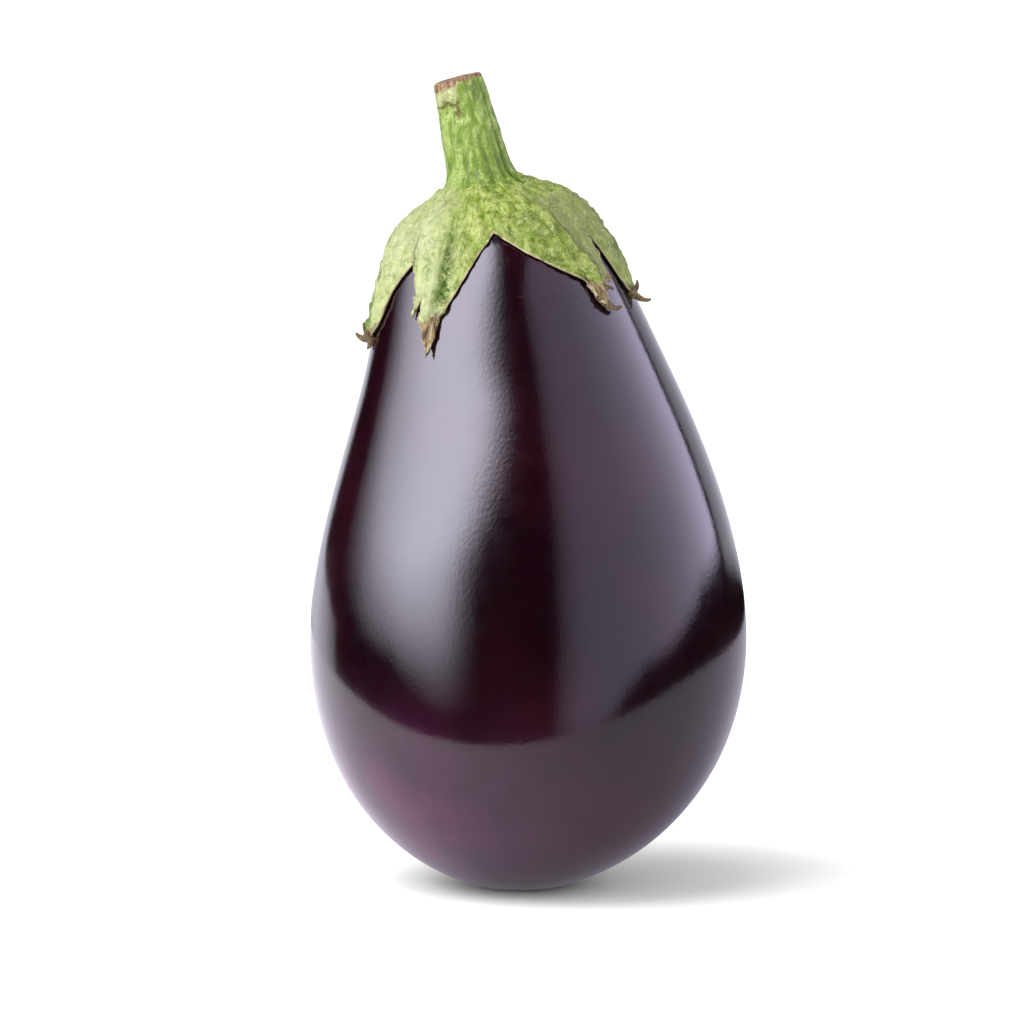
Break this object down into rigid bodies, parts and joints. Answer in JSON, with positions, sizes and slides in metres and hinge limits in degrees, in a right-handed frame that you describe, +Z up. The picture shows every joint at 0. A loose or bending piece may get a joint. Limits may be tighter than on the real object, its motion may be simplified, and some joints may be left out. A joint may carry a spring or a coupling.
{
  "type": "eggplant",
  "caption": "Pear-shaped dark eggplant standing on the flat spot at its blossom end, capped by a green calyx of pointed sepals and a short cut stem.",
  "frame": {"origin": "centre of the flat spot at the blossom end, which the eggplant stands on", "axes": "+Z up from the flat spot towards the stem, -Y to the front, +X to the right; the top bows towards -X"},
  "size_m": [0.1, 0.1, 0.1862],
  "materials": {
    "fruit_skin": "waxy gloss, near-black purple skin with a fine pebbled grain",
    "calyx_leaf": "leathery pale green with fine whitish hairs and a dry tan edge",
    "stem_bark": "ridged streaky green with a dry brown cut end"
  },
  "bodies": {
    "root": {"fruit": "fruit_skin", "calyx": "calyx_leaf", "stem": "stem_bark"}
  },
  "joints": []
}
